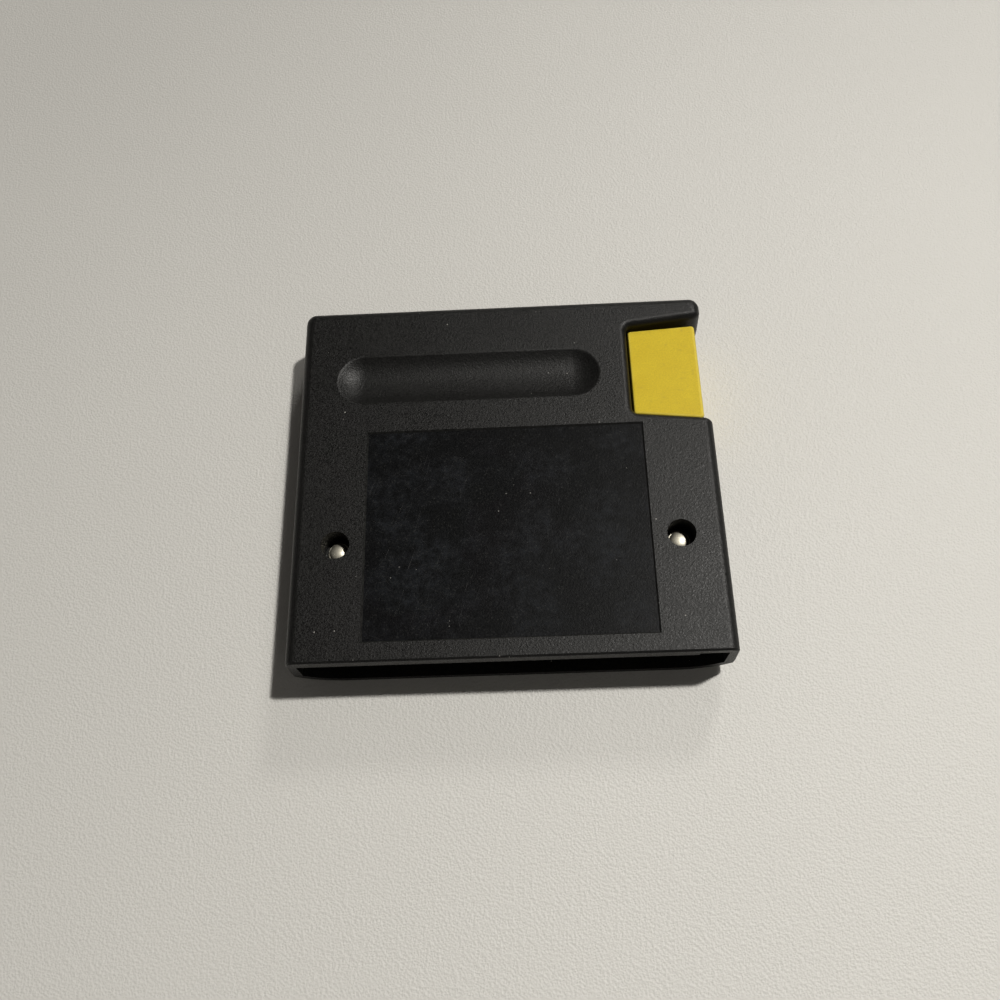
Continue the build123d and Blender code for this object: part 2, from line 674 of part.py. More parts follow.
def make_ceramic_capacitors():
    """Small dipped capacitors standing on the board."""
    z = BOARD_REAR_Z + CERAMIC_SEAT + CERAMIC_H / 2
    side = Rectangle(CERAMIC_W, CERAMIC_H)
    side = chamfer(side.vertices(), CERAMIC_CORNER)
    body = extrude(Plane.XZ * side, CERAMIC_T / 2, both=True)
    caps = body.faces().filter_by(Axis.Y)
    body = chamfer(caps[0].edges() + caps[1].edges(), CERAMIC_BEVEL)
    return Compound([(Pos(x, y, z) * body).solid() for x, y in ceramic_places()])


def make_ceramic_leads():
    """Straight wires from the ceramic capacitors through the board."""
    z0, z1 = BOARD_FRONT_Z - WIRE_OUT, BOARD_REAR_Z + CERAMIC_SEAT
    wires = []
    for x, y in ceramic_places():
        for side in (-1, 1):
            place = Pos(x + side * CERAMIC_PITCH / 2, y, z0)
            wires.append(extrude(place * RegularPolygon(WIRE_D / 2, HOLE_SIDES), z1 - z0).solid())
    return Compound(wires)


def can_axis_z():
    """Height of the lying capacitor's axis."""
    return BOARD_REAR_Z + CAN_SEAT + CAN_D / 2


def make_bulk_capacitor():
    """Electrolytic capacitor lying on the board, with its rolled neck at the lead end."""
    r, half = CAN_D / 2, CAN_L / 2
    neck = half - CAN_GROOVE_IN
    dip = CAN_GROOVE_R
    rolled = [(neck + dip, r), (neck, r - dip), (neck - dip, r)]
    profile = make_face(Polyline((half, 0), (half, r), *rolled, (-half, r), (-half, 0), close=True))
    return Pos(CAN_X, up(CAN_UP), can_axis_z()) * revolve(Plane.XZ * profile, Axis.X)


def make_bulk_capacitor_leads():
    """Two wires from the end of the lying capacitor, bent down through the board."""
    wires = []
    start_x = CAN_X + CAN_L / 2
    for x, y in can_lead_places():
        route = Polyline(
            (start_x, y, can_axis_z()),
            (x - WIRE_BEND, y, can_axis_z()),
            (x, y, can_axis_z() - WIRE_BEND),
            (x, y, BOARD_FRONT_Z - WIRE_OUT),
        )
        section = Plane(origin=route @ 0, z_dir=route % 0) * RegularPolygon(WIRE_D / 2, HOLE_SIDES)
        wires.append(sweep(section, path=route, transition=Transition.RIGHT).solid())
    return Compound(wires)


def save(name, shape):
    """Write one node."""
    export_step(shape, os.path.join("parts", name + ".step"))


def main():
    os.makedirs("parts", exist_ok=True)
    save("rear_shell", make_rear_shell())
    save("front_shell", make_front_shell())
    save("side_tab", make_side_tab())
    save("case_screws", make_case_screws())
    save("circuit_board", make_circuit_board())
    save("contacts_rear", make_contacts(BOARD_REAR_Z))
    save("contacts_front", make_contacts(BOARD_FRONT_Z - CONTACT_T))
    save("chip_package", make_chip_package())
    save("chip_pins", make_chip_pins())
    save("ceramic_capacitors", make_ceramic_capacitors())
    save("ceramic_leads", make_ceramic_leads())
    save("bulk_capacitor", make_bulk_capacitor())
    save("bulk_capacitor_leads", make_bulk_capacitor_leads())


main()
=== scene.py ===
import bmesh
import bpy
import math
from bpy.props import FloatProperty, FloatVectorProperty, IntProperty, PointerProperty
from mathutils import Matrix, Vector


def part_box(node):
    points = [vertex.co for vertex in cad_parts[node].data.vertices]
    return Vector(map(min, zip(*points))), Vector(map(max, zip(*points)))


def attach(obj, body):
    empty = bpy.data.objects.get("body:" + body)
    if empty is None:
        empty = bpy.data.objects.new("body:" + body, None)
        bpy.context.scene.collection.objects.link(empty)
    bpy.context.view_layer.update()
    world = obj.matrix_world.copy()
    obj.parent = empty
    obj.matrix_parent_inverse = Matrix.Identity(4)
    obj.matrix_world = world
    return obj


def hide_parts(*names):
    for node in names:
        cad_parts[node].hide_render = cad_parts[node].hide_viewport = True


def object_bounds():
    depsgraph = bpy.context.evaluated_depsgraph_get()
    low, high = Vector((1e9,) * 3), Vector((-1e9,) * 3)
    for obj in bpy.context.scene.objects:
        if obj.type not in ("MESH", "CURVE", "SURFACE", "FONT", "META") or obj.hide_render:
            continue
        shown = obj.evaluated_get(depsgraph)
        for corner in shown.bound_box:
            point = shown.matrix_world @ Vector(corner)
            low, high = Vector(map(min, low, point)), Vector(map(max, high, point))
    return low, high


bl_info = {
    "name": "Game cartridge",
    "version": (1, 0, 0),
    "blender": (4, 5, 0),
    "location": "3D View > Sidebar > Cartridge",
    "description": "Dresses a plug-in game cartridge with its plastics, screws, board and stage",
    "category": "Object",
}

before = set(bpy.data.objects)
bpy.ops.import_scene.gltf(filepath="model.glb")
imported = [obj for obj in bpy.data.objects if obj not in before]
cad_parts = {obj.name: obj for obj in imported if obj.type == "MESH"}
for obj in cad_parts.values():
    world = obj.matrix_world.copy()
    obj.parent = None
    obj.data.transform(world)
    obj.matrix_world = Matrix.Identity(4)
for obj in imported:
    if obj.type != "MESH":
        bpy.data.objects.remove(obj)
cad_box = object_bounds()

MILLIMETRE = 0.001

# Corners of a CAD mesh nearer than the first length are one corner, and edges under the second are dropped
SAME_POINT = 0.001 * MILLIMETRE
SHORTEST_EDGE = 0.0005 * MILLIMETRE
# Half the thickness of a capacitor's lead wire
HALF_WIRE = 0.3 * MILLIMETRE

# Directions in which the lamps stand, and the middle of the pool of light on the table in metres
KEY_HEADING = (7.8, 4.0, 17.0)
BACK_HEADING = (9.0, 22.0, 17.0)
FILL_HEADING = (9.0, -15.0, 11.0)
POOL_MIDDLE = (0.353, -0.089, 0.0)
# Half the width of the table in metres, and the gap that keeps it from touching the case
TABLE_REACH = 4.0
TABLE_GAP = 0.05 * MILLIMETRE
# The camera's two axes, and its place and sensor in millimetres
CAMERA_RIGHT = (0.99881, -0.02211, -0.04338)
CAMERA_UP = (0.0377, 0.91506, 0.40156)
CAMERA_PLACE = (5.972, -107.743, 241.457)
SENSOR_WIDTH = 36.0


def colour(name, description, value):
    """Colour that a user may change."""
    return FloatVectorProperty(
        name=name, description=description, subtype="COLOR", size=3, min=0.0, max=1.0, default=value
    )


def length(name, description, millimetres):
    """Length that a user may change."""
    return FloatProperty(
        name=name,
        description=description,
        unit="LENGTH",
        precision=5,
        min=0.0,
        default=millimetres * MILLIMETRE,
    )


def share(name, description, value):
    """Share between none and all that a user may change."""
    return FloatProperty(
        name=name, description=description, subtype="FACTOR", min=0.0, max=1.0, default=value
    )


def power(name, description, value):
    """Strength of a lamp that a user may change."""
    return FloatProperty(name=name, description=description, min=0.0, default=value)


def span(name, description, degrees):
    """Angle that a user may change."""
    return FloatProperty(
        name=name, description=description, subtype="ANGLE", min=0.0, default=math.radians(degrees)
    )


class CaseFinish(bpy.types.PropertyGroup):
    """Finish of the two case halves."""

    plastic: colour("Plastic", "Colour of the grained plastic", (0.0058, 0.0057, 0.0054))
    panel: colour("Panel", "Colour of the smooth rear panel", (0.0038, 0.0041, 0.0047))
    smear: colour("Smear", "Colour of the smudges on the panel", (0.0105, 0.0120, 0.0150))
    # The rubbed colour also paints a highlight along the panel's sloped edges.
    rubbed: colour("Rubbed", "Colour of rubbed spots and edges", (0.022, 0.022, 0.021))
    dust: colour("Dust", "Colour of the specks of dust", (0.30, 0.29, 0.27))
    grain: length("Grain", "Size of one bump of the plastic's grain", 0.42)
    grain_depth: length("Grain depth", "Height of the plastic's grain", 0.145)
    panel_depth: length("Panel depth", "Depth of the smooth panel under the rear face", 0.45)
    dusty: share("Dusty", "Share of the spots that carry a speck", 0.16)


class TabFinish(bpy.types.PropertyGroup):
    """Finish of the side tab."""

    plastic: colour("Plastic", "Colour of the tab", (0.600, 0.440, 0.0100))
    worn: colour("Worn", "Colour of the tab where it is paler", (0.640, 0.480, 0.0150))
    rim: colour("Rim", "Colour of the tab's rubbed rim", (0.660, 0.530, 0.075))
    dirt: colour("Dirt", "Colour of the dirt on the tab", (0.30, 0.20, 0.03))
    rim_width: length("Rim width", "Width of the rubbed rim", 0.45)
    grain: length("Grain", "Size of one bump of the tab's grain", 0.4)
    grain_depth: length("Grain depth", "Height of the tab's grain", 0.04)


class ScrewSizes(bpy.types.PropertyGroup):
    """Sizes and finish of the case screws."""

    metal: colour("Metal", "Colour of the plated steel", (0.60, 0.57, 0.48))
    flange: length("Flange", "Diameter of the flange", 5.6)
    flange_height: length("Flange height", "Thickness of the flange", 0.6)
    stud: length("Stud", "Diameter of the lobed stud", 4.8)
    stud_height: length("Stud height", "Height of the lobed stud", 1.7)
    dome: length("Dome", "Rise of the stud's domed end", 1.0)
    shank: length("Shank", "Diameter over the thread", 2.4)
    thread_depth: length("Thread depth", "Depth of the thread", 0.25)
    turns: IntProperty(name="Turns", description="Ridges of the thread", min=1, default=8)
    lobes: IntProperty(name="Lobes", description="Lobes round the stud", min=3, default=6)
    flute: share("Flute", "Depth of a flute, as a share of the radius", 0.06)


class BoardFinish(bpy.types.PropertyGroup):
    """Finish of the circuit board and what is soldered to it."""

    mask: colour("Mask", "Colour of the solder mask", (0.012, 0.085, 0.030))
    track: colour("Track", "Colour of the mask over a copper track", (0.030, 0.150, 0.045))
    laminate: colour("Laminate", "Colour of the bare laminate", (0.120, 0.150, 0.050))
    gold: colour("Gold", "Colour of the contacts", (0.86, 0.62, 0.24))
    tin: colour("Tin", "Colour of pins, wires and solder", (0.66, 0.66, 0.64))
    resin: colour("Resin", "Colour of the chip and of the lying capacitor's bung", (0.017, 0.017, 0.018))
    ceramic: colour("Ceramic", "Colour of the ceramic capacitors", (0.55, 0.22, 0.045))
    sleeve: colour("Sleeve", "Colour of the lying capacitor's sleeve", (0.012, 0.018, 0.070))
    aluminium: colour("Aluminium", "Colour of the lying capacitor's end", (0.72, 0.73, 0.74))
    pitch: length("Pitch", "Distance from one pin or contact to the next", 2.54)
    joint: length("Joint", "Width of a solder joint", 1.5)
    joint_height: length("Joint height", "Height of a solder joint", 0.8)


class StageSettings(bpy.types.PropertyGroup):
    """Floor, light and camera."""

    floor: colour("Floor", "Colour of the table", (0.590, 0.580, 0.552))
    wall: colour("Wall", "Colour of the studio's walls, as seen and mirrored", (0.40, 0.39, 0.37))
    ceiling: colour("Ceiling", "Colour of the dim light from all round", (0.074, 0.070, 0.065))
    emboss: length("Emboss", "Size of one cell of the table's embossing", 0.62)
    emboss_depth: length("Emboss depth", "Depth of the table's embossing", 0.23)
    lamp: colour("Lamp", "Colour of the lamps", (1.0, 0.975, 0.925))
    key: power("Key", "Strength of the main lamp", 2.0)
    pool: power("Pool", "Strength of the pool of light at the right", 1.31)
    back: power("Back", "Strength of the weak lamp behind", 0.55)
    fill: power("Fill", "Strength of the weak lamp in front", 0.10)
    softness: span("Softness", "Angle that the main lamp spans", 3.0)
    back_softness: span("Back softness", "Angle that the lamp behind spans", 10.0)
    fill_softness: span("Fill softness", "Angle that the lamp in front spans", 50.0)
    beam: span("Beam", "Angle over which the pool fades", 22.75)
    pool_distance: length("Pool distance", "Distance of the lamp that throws the pool", 3000.0)
    lens: FloatProperty(
        name="Lens", description="Focal length of the camera", unit="CAMERA", min=1.0, default=36.0
    )


class Graph:
    """Short calls to add and join the nodes of one tree."""

    def __init__(self, tree):
        self.tree = tree

    def add(self, kind, values=None, **settings):
        """New node, with a plain value or another node's socket on each named input."""
        node = self.tree.nodes.new(kind)
        for key, value in settings.items():
            setattr(node, key, value)
        for key, value in (values or {}).items():
            if isinstance(value, bpy.types.NodeSocket):
                self.tree.links.new(value, node.inputs[key])
            else:
                node.inputs[key].default_value = value
        return node

    def join(self, socket, node, key):
        """Link to a named input."""
        self.tree.links.new(socket, node.inputs[key])

    def place(self, stretch=None):
        """Object coordinates, stretched where a stretch is given."""
        place = self.add("ShaderNodeTexCoord").outputs["Object"]
        if stretch is None:
            return place
        return self.add("ShaderNodeMapping", {"Vector": place, "Scale": stretch}).outputs["Vector"]

    def noise(self, place, size, detail, roughness=0.5):
        """Noise with features of about this size, in metres."""
        values = {"Vector": place, "Scale": 1.0 / size, "Detail": detail, "Roughness": roughness}
        return self.add("ShaderNodeTexNoise", values).outputs[0]

    def math(self, operation, *values):
        """One sum on numbers or sockets."""
        return self.add("ShaderNodeMath", dict(enumerate(values)), operation=operation).outputs[0]

    def ramp(self, value, low, high, to_low=0.0, to_high=1.0):
        """Maps one range to another and holds at its ends."""
        values = {"Value": value, "From Min": low, "From Max": high, "To Min": to_low, "To Max": to_high}
        return self.add("ShaderNodeMapRange", values).outputs["Result"]

    def mix(self, factor, first, second):
        """Colour between two colours."""
        return self.add("ShaderNodeMix", {0: factor, 6: first, 7: second}, data_type="RGBA").outputs[2]

    def flecks(self, place, spacing, size, some):
        """Mask of small round spots, on this share of the cells."""
        cells = self.add("ShaderNodeTexVoronoi", {"Vector": place, "Scale": 1.0 / spacing})
        lot = self.add("ShaderNodeSeparateColor", {"Color": cells.outputs["Color"]}).outputs[0]
        reach = self.ramp(lot, 1.0 - some, 1.0, 0.4 * size / spacing, size / spacing)
        spot = self.math("LESS_THAN", cells.outputs["Distance"], reach)
        return self.math("MULTIPLY", spot, self.math("GREATER_THAN", lot, 1.0 - some))

    def scratches(self, reach, width, degrees, some):
        """Mask of thin straight marks of about this length and width, all in one direction."""
        turn = (0.0, 0.0, math.radians(degrees))
        values = {"Vector": self.place(), "Rotation": turn, "Scale": (reach, width, 1.0)}
        along = self.add("ShaderNodeMapping", values, vector_type="TEXTURE").outputs["Vector"]
        marks = self.add("ShaderNodeTexNoise", {"Vector": along, "Scale": 1.0, "Detail": 1.0}).outputs[0]
        return self.ramp(marks, 1.0 - some, 1.05 - some)

    def bump(self, height, depth, strength):
        """Normal bent by a height map of this depth in metres."""
        values = {"Height": height, "Distance": depth, "Strength": strength}
        return self.add("ShaderNodeBump", values).outputs["Normal"]


def opaque(rgb, factor=1.0):
    """Colour with full alpha, made lighter or darker."""
    return (*(min(1.0, c * factor) for c in rgb), 1.0)


def surface(name):
    """New material, with its graph and its shader."""
    material = bpy.data.materials.new(name)
    material.use_nodes = True
    return material, Graph(material.node_tree), material.node_tree.nodes["Principled BSDF"]


def grained_plastic(finish):
    """Black plastic from a spark-eroded mould, with a little dust and the grain's sparkle painted into its
    colour.
    """
    material, graph, shader = surface("grained_black_plastic")
    place = graph.place()
    coarse = graph.noise(place, 1.8 * finish.grain, detail=1.0, roughness=0.5)
    fine = graph.noise(place, finish.grain, detail=3.0, roughness=0.7)
    glint = graph.noise(place, 0.6 * finish.grain, detail=0.0)
    handled = graph.noise(place, 22 * MILLIMETRE, detail=3.0, roughness=0.55)
    height = graph.math("ADD", fine, graph.math("MULTIPLY", coarse, 0.5))
    # Painted glints: darker and lighter specks in the grain's colour stand in for the sparkle of its
    # highlights.
    dark, light = opaque(finish.plastic, 0.3), opaque(finish.plastic, 1.8)
    tone = graph.mix(graph.ramp(glint, 0.30, 0.70), dark, light)
    dust = graph.flecks(place, spacing=2.4 * MILLIMETRE, size=0.20 * MILLIMETRE, some=finish.dusty)
    tone = graph.mix(graph.math("MULTIPLY", dust, 0.75), tone, opaque(finish.dust))
    graph.join(tone, shader, "Base Color")
    gloss = graph.ramp(handled, 0.36, 0.64, 0.38, 0.43)
    gloss = graph.math("ADD", gloss, graph.ramp(glint, 0.25, 0.75, -0.10, 0.12))
    graph.join(gloss, shader, "Roughness")
    shader.inputs["Specular IOR Level"].default_value = 0.235
    graph.join(graph.bump(height, finish.grain_depth, strength=0.6), shader, "Normal")
    return material


def smooth_panel(finish):
    """Smooth plastic in the rear panel, finely scratched, rubbed and smudged by handling."""
    material, graph, shader = surface("smooth_black_panel")
    place = graph.place()
    smudge = graph.noise(place, 14 * MILLIMETRE, detail=4.0, roughness=0.6)
    cloud = graph.noise(place, 2.2 * MILLIMETRE, detail=4.0, roughness=0.65)
    fine = graph.noise(place, 0.42 * MILLIMETRE, detail=2.0, roughness=0.7)
    speck = graph.noise(place, 0.5 * MILLIMETRE, detail=1.0, roughness=0.5)
    hairline = 0.26 * MILLIMETRE
    marks = graph.scratches(9 * MILLIMETRE, hairline, degrees=33.0, some=0.31)
    for reach, degrees in ((7.0, -52.0), (12.0, 71.0), (6.0, 8.0), (10.0, -21.0)):
        more = graph.scratches(reach * MILLIMETRE, hairline, degrees, some=0.30)
        marks = graph.math("MAXIMUM", marks, more)
    marks = graph.math("MULTIPLY", marks, graph.ramp(smudge, 0.40, 0.62))
    rubbed = graph.math("MULTIPLY", graph.ramp(speck, 0.56, 0.72), graph.ramp(cloud, 0.42, 0.60))
    dust = graph.flecks(place, spacing=2.0 * MILLIMETRE, size=0.18 * MILLIMETRE, some=0.8 * finish.dusty)
    haze = graph.math("MULTIPLY", graph.ramp(smudge, 0.42, 0.62), graph.ramp(cloud, 0.36, 0.64))
    tone = graph.mix(haze, opaque(finish.panel, 0.8), opaque(finish.smear))
    tone = graph.mix(graph.ramp(fine, 0.32, 0.68, 0.6, 0.0), tone, opaque(finish.panel, 0.2))
    tone = graph.mix(graph.math("MULTIPLY", rubbed, 0.8), tone, opaque(finish.rubbed))
    tone = graph.mix(graph.math("MULTIPLY", marks, 0.08), tone, opaque(finish.dust, 0.4))
    tone = graph.mix(graph.math("MULTIPLY", dust, 0.5), tone, opaque(finish.dust))
    graph.join(tone, shader, "Base Color")
    shader.inputs["Specular IOR Level"].default_value = 0.085
    gloss = graph.ramp(haze, 0.0, 1.0, 0.37, 0.45)
    gloss = graph.math("ADD", gloss, graph.ramp(fine, 0.3, 0.7, -0.06, 0.07))
    graph.join(gloss, shader, "Roughness")
    relief = graph.math("SUBTRACT", fine, graph.math("MULTIPLY", marks, 0.6))
    graph.join(graph.bump(relief, 0.08 * MILLIMETRE, strength=0.6), shader, "Normal")
    return material


def rubbed_and_highlit_edge(finish):
    """Plastic on the panel's sloped edges, paler partly for rubbing and partly for a painted highlight along
    the edge.
    """
    material, graph, shader = surface("rubbed_and_highlit_panel_edge")
    patchy = graph.noise(graph.place(), 0.9 * MILLIMETRE, detail=3.0, roughness=0.7)
    # Painted highlight and wear: the paler edge colour stands in partly for rubbing and partly for the
    # highlight of a rounded edge.
    tone = graph.mix(graph.ramp(patchy, 0.35, 0.70), opaque(finish.plastic), opaque(finish.rubbed))
    graph.join(tone, shader, "Base Color")
    shader.inputs["Specular IOR Level"].default_value = 0.2
    graph.join(graph.ramp(patchy, 0.3, 0.7, 0.48, 0.36), shader, "Roughness")
    return material


def tab_plastic(finish):
    """Yellow plastic, a little mottled and soiled."""
    material, graph, shader = surface("yellow_tab_plastic")
    place = graph.place()
    mottle = graph.noise(place, 5 * MILLIMETRE, detail=4.0, roughness=0.6)
    grain = graph.noise(place, finish.grain, detail=3.0, roughness=0.6)
    soil = graph.noise(place, 1.6 * MILLIMETRE, detail=3.0, roughness=0.7)
    tone = graph.mix(graph.ramp(mottle, 0.35, 0.68), opaque(finish.plastic), opaque(finish.worn))
    tone = graph.mix(graph.ramp(grain, 0.3, 0.7, 0.45, 0.0), tone, opaque(finish.plastic, 0.6))
    tone = graph.mix(graph.ramp(soil, 0.60, 0.74, 0.0, 0.40), tone, opaque(finish.dirt))
    rim = graph.add("ShaderNodeAttribute", attribute_name="wear").outputs["Fac"]
    rim = graph.math("MULTIPLY", rim, graph.ramp(mottle, 0.35, 0.60, 0.25, 0.85))
    tone = graph.mix(rim, tone, opaque(finish.rim))
    graph.join(tone, shader, "Base Color")
    shader.inputs["Specular IOR Level"].default_value = 0.2
    graph.join(graph.ramp(mottle, 0.3, 0.7, 0.46, 0.56), shader, "Roughness")
    graph.join(graph.bump(grain, finish.grain_depth, strength=0.5), shader, "Normal")
    return material


def plated_steel(sizes):
    """Bright plated steel with fine wear."""
    material, graph, shader = surface("plated_screw_steel")
    wear = graph.noise(graph.place(), 0.8 * MILLIMETRE, detail=3.0, roughness=0.6)
    tone = graph.mix(graph.ramp(wear, 0.4, 0.7), opaque(sizes.metal), opaque(sizes.metal, 0.75))
    graph.join(tone, shader, "Base Color")
    shader.inputs["Metallic"].default_value = 1.0
    graph.join(graph.ramp(wear, 0.35, 0.7, 0.47, 0.58), shader, "Roughness")
    graph.join(graph.bump(wear, 0.01 * MILLIMETRE, strength=0.4), shader, "Normal")
    return material


def board_laminate(finish, edge_end):
    """Green masked board with tracks, bare towards its card edge."""
    material, graph, shader = surface("green_board")
    place = graph.place()
    axes = graph.add("ShaderNodeSeparateXYZ", {"Vector": place})
    across, along = axes.outputs["X"], axes.outputs["Y"]
    lane = graph.math("FRACT", graph.math("DIVIDE", across, finish.pitch))
    off = graph.math("ABSOLUTE", graph.math("SUBTRACT", lane, 0.5))
    down = graph.math("GREATER_THAN", off, 0.37)
    row = graph.math("FRACT", graph.math("DIVIDE", along, 0.5 * finish.pitch))
    level = graph.math("LESS_THAN", graph.math("ABSOLUTE", graph.math("SUBTRACT", row, 0.5)), 0.2)
    zone = graph.math("GREATER_THAN", graph.noise(place, 16 * MILLIMETRE, detail=0.0), 0.52)
    level = graph.math("MULTIPLY", level, zone)
    down = graph.math("MULTIPLY", down, graph.math("SUBTRACT", 1.0, zone))
    tracks = graph.math("ADD", level, down)
    weave = graph.noise(place, 0.5 * MILLIMETRE, detail=2.0)
    tone = graph.mix(tracks, opaque(finish.mask), opaque(finish.track))
    bare = graph.ramp(along, edge_end, edge_end + 0.05 * MILLIMETRE, 1.0, 0.0)
    tone = graph.mix(bare, tone, opaque(finish.laminate))
    tone = graph.mix(graph.ramp(weave, 0.3, 0.7, 0.25, 0.0), tone, opaque(finish.mask, 0.4))
    graph.join(tone, shader, "Base Color")
    graph.join(graph.ramp(weave, 0.3, 0.7, 0.28, 0.40), shader, "Roughness")
    height = graph.math("ADD", tracks, graph.math("MULTIPLY", weave, 0.15))
    graph.join(graph.bump(height, 0.03 * MILLIMETRE, strength=0.6), shader, "Normal")
    return material


def contact_gold(finish):
    """Gold plate with wipe marks along the board."""
    material, graph, shader = surface("contact_gold")
    wipe = graph.noise(graph.place((1.0, 0.06, 1.0)), 0.25 * MILLIMETRE, detail=3.0, roughness=0.6)
    tone = graph.mix(graph.ramp(wipe, 0.4, 0.75), opaque(finish.gold), opaque(finish.gold, 0.55))
    graph.join(tone, shader, "Base Color")
    shader.inputs["Metallic"].default_value = 1.0
    graph.join(graph.ramp(wipe, 0.3, 0.7, 0.20, 0.42), shader, "Roughness")
    return material


def dull_tin(finish):
    """Tin plate and solder."""
    material, graph, shader = surface("dull_tin")
    cloud = graph.noise(graph.place(), 0.6 * MILLIMETRE, detail=3.0, roughness=0.6)
    graph.join(graph.mix(cloud, opaque(finish.tin, 0.75), opaque(finish.tin, 1.1)), shader, "Base Color")
    shader.inputs["Metallic"].default_value = 1.0
    graph.join(graph.ramp(cloud, 0.3, 0.7, 0.30, 0.48), shader, "Roughness")
    return material


def coated(name, rgb, gloss, size_mm, depth_mm):
    """Dipped, moulded or sleeved surface with a slight unevenness of this size."""
    material, graph, shader = surface(name)
    cloud = graph.noise(graph.place(), size_mm * MILLIMETRE, detail=3.0, roughness=0.6)
    graph.join(graph.mix(cloud, opaque(rgb, 0.75), opaque(rgb, 1.3)), shader, "Base Color")
    graph.join(graph.ramp(cloud, 0.3, 0.7, gloss, gloss + 0.12), shader, "Roughness")
    graph.join(graph.bump(cloud, depth_mm * MILLIMETRE, strength=0.5), shader, "Normal")
    return material


def bright_aluminium(finish):
    """Drawn aluminium of a can's end."""
    material, graph, shader = surface("can_aluminium")
    cloud = graph.noise(graph.place((1.0, 1.0, 0.15)), 0.3 * MILLIMETRE, detail=2.0)
    tone = graph.mix(cloud, opaque(finish.aluminium, 0.8), opaque(finish.aluminium))
    graph.join(tone, shader, "Base Color")
    shader.inputs["Metallic"].default_value = 1.0
    graph.join(graph.ramp(cloud, 0.3, 0.7, 0.30, 0.42), shader, "Roughness")
    return material


def embossed_table(stage):
    """Pale table top with a fine leather-like embossing."""
    material, graph, shader = surface("pale_table")
    place = graph.place()
    values = {"Vector": place, "Scale": 1.0 / stage.emboss}
    cells = graph.add("ShaderNodeTexVoronoi", values).outputs["Distance"]
    fine = graph.noise(place, 0.45 * stage.emboss, detail=2.0, roughness=0.6)
    cloud = graph.noise(place, 120 * MILLIMETRE, detail=2.0)
    tone = graph.mix(cloud, opaque(stage.floor, 0.97), opaque(stage.floor, 1.03))
    graph.join(tone, shader, "Base Color")
    shader.inputs["Roughness"].default_value = 0.45
    shader.inputs["Specular IOR Level"].default_value = 0.35
    height = graph.math("ADD", cells, fine)
    graph.join(graph.bump(height, stage.emboss_depth, strength=0.5), shader, "Normal")
    return material


def put(name, mesh, *materials):
    """New object in the scene with these materials."""
    mesh.materials.clear()
    for material in materials:
        mesh.materials.append(material)
    piece = bpy.data.objects.new(name, mesh)
    bpy.context.collection.objects.link(piece)
    return piece


def carry(piece, slot, *nodes):
    """The piece moves with the cartridge and stands for these nodes, which are hidden; the finish name it is
    given is not used.
    """
    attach(piece, "root")
    if nodes:
        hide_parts(*nodes)


def bake(piece):
    """Turns the piece's modifiers into plain mesh."""
    graph = bpy.context.evaluated_depsgraph_get()
    shape = piece.evaluated_get(graph)
    mesh = bpy.data.meshes.new_from_object(shape, preserve_all_data_layers=True, depsgraph=graph)
    piece.modifiers.clear()
    piece.data = mesh


def joined_mesh(node, name):
    """Copy of a CAD node's mesh with its loose triangles joined."""
    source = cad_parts[node].data
    mesh = bpy.data.meshes.new(name)
    mesh.from_pydata([v.co for v in source.vertices], [], [tuple(p.vertices) for p in source.polygons])
    work = bmesh.new()
    work.from_mesh(mesh)
    bmesh.ops.remove_doubles(work, verts=work.verts, dist=SAME_POINT)
    bmesh.ops.dissolve_degenerate(work, edges=work.edges, dist=SHORTEST_EDGE)
    work.to_mesh(mesh)
    work.free()
    return mesh


def mark_panel(mesh, top, depth):
    """Gives the floor of the sunk panel the second material and its sloped edges the third."""
    near = 0.02 * MILLIMETRE
    floor = []
    for face in mesh.polygons:
        if abs(face.center.z - top + depth) < near and face.normal.z > 0.9:
            floor.append(face)
    if not floor:
        raise RuntimeError("no panel at this depth under the rear face")
    corners = [mesh.vertices[i].co for face in floor for i in face.vertices]
    reach = 0.5 * MILLIMETRE
    west, east = min(c.x for c in corners) - reach, max(c.x for c in corners) + reach
    south, north = min(c.y for c in corners) - reach, max(c.y for c in corners) + reach
    for face in mesh.polygons:
        inside = west < face.center.x < east and south < face.center.y < north
        between = near < top - face.center.z < depth - near
        sloped = 0.2 < face.normal.z < 0.95
        if inside and between and sloped:
            face.material_index = 2
    for face in floor:
        face.material_index = 1


def wear_rims(mesh, levels, width):
    """Insets the level faces at these heights and marks their rims and chamfers as worn."""
    work = bmesh.new()
    work.from_mesh(mesh)
    wear = work.loops.layers.float.new("wear")
    near = 0.01 * MILLIMETRE
    inner = set()
    for height in levels:
        flat = []
        for face in work.faces:
            if abs(face.normal.z) > 0.99 and abs(face.calc_center_median().z - height) < near:
                flat.append(face)
        middle = bmesh.ops.dissolve_faces(work, faces=flat)["region"]
        bmesh.ops.inset_region(work, faces=middle, thickness=width, use_even_offset=True)
        inner.update(vertex for face in middle for vertex in face.verts)
    work.normal_update()
    for face in work.faces:
        upright = abs(face.normal.z) <= 0.3
        if not upright:
            for loop in face.loops:
                loop[wear] = 0.0 if loop.vert in inner else 1.0
    work.to_mesh(mesh)
    work.free()


def shade(piece, degrees):
    """Smooth shading up to this angle, with flat faces kept flat."""
    for face in piece.data.polygons:
        face.use_smooth = True
    piece.data.set_sharp_from_angle(angle=math.radians(degrees))
    even = piece.modifiers.new("even_shading", "WEIGHTED_NORMAL")
    even.keep_sharp = True
    even.weight = 100
    bake(piece)


def dress(node, material):
    """Gives a CAD node a finished material."""
    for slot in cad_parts[node].material_slots:
        slot.material = material


